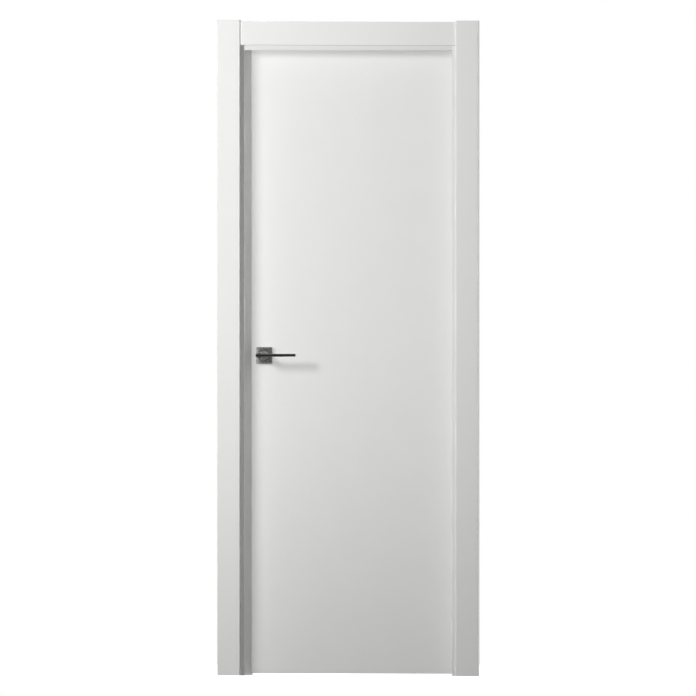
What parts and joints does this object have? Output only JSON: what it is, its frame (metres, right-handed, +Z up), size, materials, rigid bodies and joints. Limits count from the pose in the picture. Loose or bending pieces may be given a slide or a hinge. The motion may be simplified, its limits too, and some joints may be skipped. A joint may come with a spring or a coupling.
{
  "type": "solid interior door",
  "caption": "Flush white interior door with a lever handle, hung in a deep rebated frame with flat casings round its front.",
  "frame": {"origin": "on the hinge jamb's wall-side face, at floor level, halfway through the jamb's depth", "axes": "+Z up, +X out of the hinge jamb's wall-side face, -Y out of the side with the casings, which the picture shows"},
  "size_m": [0.8995, 0.182, 2.131],
  "materials": {
    "frame_lacquer": "white satin lacquer",
    "leaf_lacquer": "white satin lacquer",
    "core_board": "raw board",
    "seal_rubber": "matt pale grey",
    "hinge_steel": "satin",
    "handle_nickel": "polished nickel"
  },
  "bodies": {
    "frame": {"jamb_latch_side": "frame_lacquer", "jamb_hinge_side": "frame_lacquer", "jamb_head": "frame_lacquer", "casing_left_front": "frame_lacquer", "casing_right_front": "frame_lacquer", "casing_head_front": "frame_lacquer", "seal_latch_side": "seal_rubber", "seal_hinge_side": "seal_rubber", "seal_head": "seal_rubber", "strike_plate": "hinge_steel", "hinge_frame_plate_bottom": "hinge_steel", "hinge_frame_plate_middle": "hinge_steel", "hinge_frame_plate_top": "hinge_steel", "hinge_pin_bottom": "hinge_steel", "hinge_pin_middle": "hinge_steel", "hinge_pin_top": "hinge_steel"},
    "leaf": {"leaf_skin_front": "leaf_lacquer", "leaf_skin_back": "leaf_lacquer", "stile_latch_side": "leaf_lacquer", "stile_hinge_side": "leaf_lacquer", "rail_bottom": "leaf_lacquer", "rail_top": "leaf_lacquer", "leaf_core": "core_board", "latch_case": "hinge_steel", "latch_faceplate": "hinge_steel", "rosette_front": "handle_nickel", "rosette_back": "handle_nickel", "hinge_leaf_plate_bottom": "hinge_steel", "hinge_leaf_plate_middle": "hinge_steel", "hinge_leaf_plate_top": "hinge_steel"},
    "handle": {"lever_front": "handle_nickel", "lever_back": "handle_nickel", "spindle": "hinge_steel"},
    "latch": {"latch_bolt": "hinge_steel"}
  },
  "joints": [
    {"name": "leaf_swing", "type": "hinge", "parent": "frame", "child": "leaf", "pos_m": [-0.0245, 0.0635, 0], "axis": [0, 0, -1], "range_deg": [0, 150]},
    {"name": "lever_turn", "type": "hinge", "parent": "leaf", "child": "handle", "pos_m": [-0.702, 0.036, 1.04], "axis": [0, 1, 0], "range_deg": [0, 40], "stiffness_Nm_per_rad": 1.2, "springref_deg": -34.38},
    {"name": "latch_slide", "type": "slide", "parent": "leaf", "child": "latch", "axis": [1, 0, 0], "range_m": [0, 0.0125]}
  ],
  "couplings": [
    {"joint": "latch_slide", "follows": "lever_turn", "m_per_rad": 0.0179}
  ]
}
